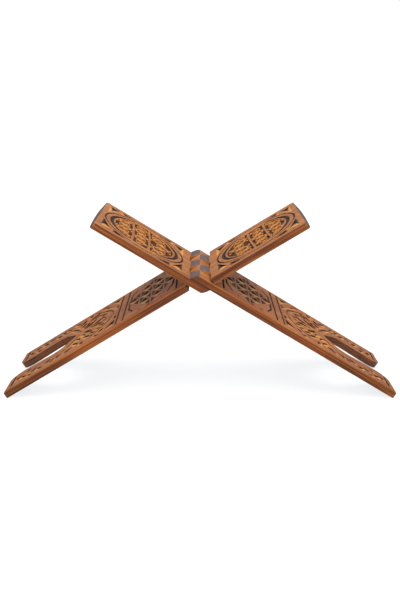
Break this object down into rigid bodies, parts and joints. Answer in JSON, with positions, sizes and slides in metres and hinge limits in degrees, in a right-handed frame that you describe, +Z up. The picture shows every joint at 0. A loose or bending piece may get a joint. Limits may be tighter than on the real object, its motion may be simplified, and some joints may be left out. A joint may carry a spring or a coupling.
{
  "type": "folding book stand",
  "caption": "Folding X-shaped wooden book stand: two carved leaves locked together by interleaved knuckles, with reading plates above the hinge and forked legs below.",
  "frame": {"origin": "floor level, midway between the feet, under the middle of the hinge", "axes": "+X from the foot of the two-knuckle leaf towards the foot of the three-knuckle leaf, across the open stand; Y along the hinge axis, with -Y the front; +Z up"},
  "size_m": [0.74, 0.2, 0.3387],
  "materials": {
    "carved_wood": "satin oiled hardwood, stained dark in the carved cuts and on every second knuckle face"
  },
  "bodies": {
    "three_knuckle_leaf": {"three_knuckle_leaf": "carved_wood"},
    "two_knuckle_leaf": {"two_knuckle_leaf": "carved_wood"}
  },
  "joints": [
    {"name": "leaf_hinge", "type": "hinge", "parent": "three_knuckle_leaf", "child": "two_knuckle_leaf", "pos_m": [0, 0, 0.22358], "axis": [0, -1, 0], "range_deg": [0, 116.8]}
  ]
}
